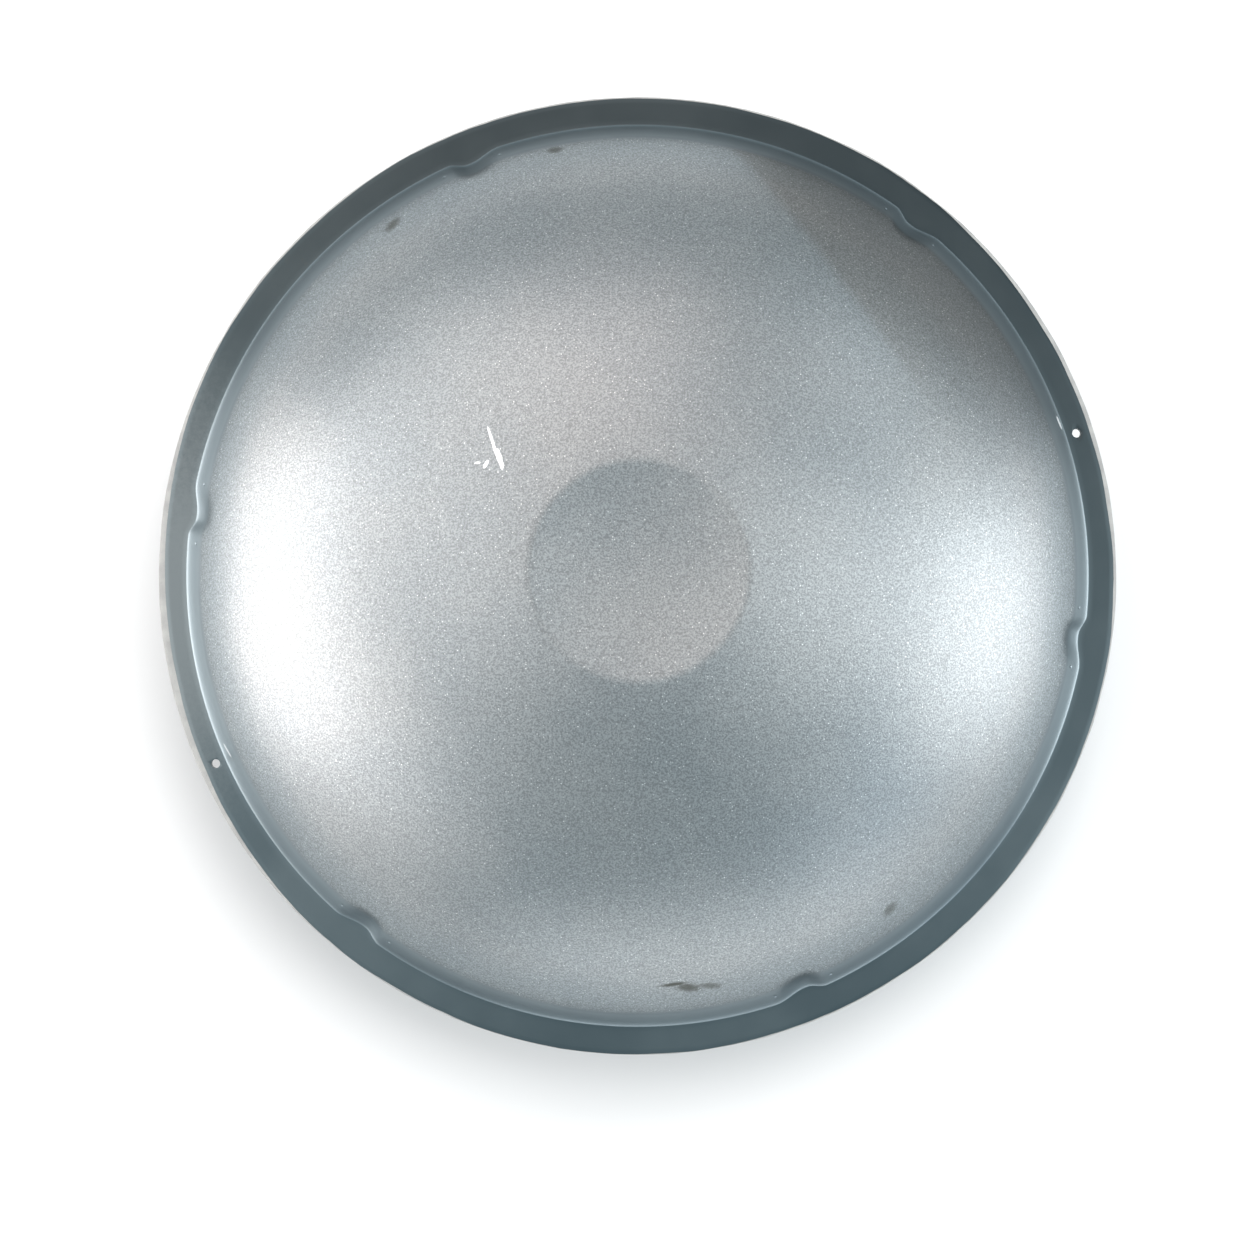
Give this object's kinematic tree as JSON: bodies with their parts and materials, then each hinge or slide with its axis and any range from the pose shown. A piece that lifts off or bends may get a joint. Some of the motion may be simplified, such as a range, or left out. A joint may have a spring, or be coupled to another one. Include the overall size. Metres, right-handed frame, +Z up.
{
  "type": "handpan",
  "caption": "Handpan of dished steel half-shells bonded flange to flange, with a dimpled crown, hanging holes in the rim and a necked sound port underneath.",
  "frame": {"origin": "middle of the flat seat round the sound port, on the axis of the shells, where the instrument stands", "axes": "+Z up through the crown of the upper shell; +X and +Y in the plane of the floor, with the first hanging hole 18 degrees from +X towards +Y"},
  "size_m": [0.54, 0.54, 0.2168],
  "materials": {
    "upper_steel": "satin nitrided steel with orange-peel grain on the dome and a smoother, darker flange",
    "lower_steel": "satin nitrided steel, as the upper shell",
    "adhesive": "pale grey cured two-part epoxy, semi-matt"
  },
  "bodies": {
    "root": {"upper_shell": "upper_steel", "bond_ring": "adhesive", "lower_shell": "lower_steel"}
  },
  "joints": []
}
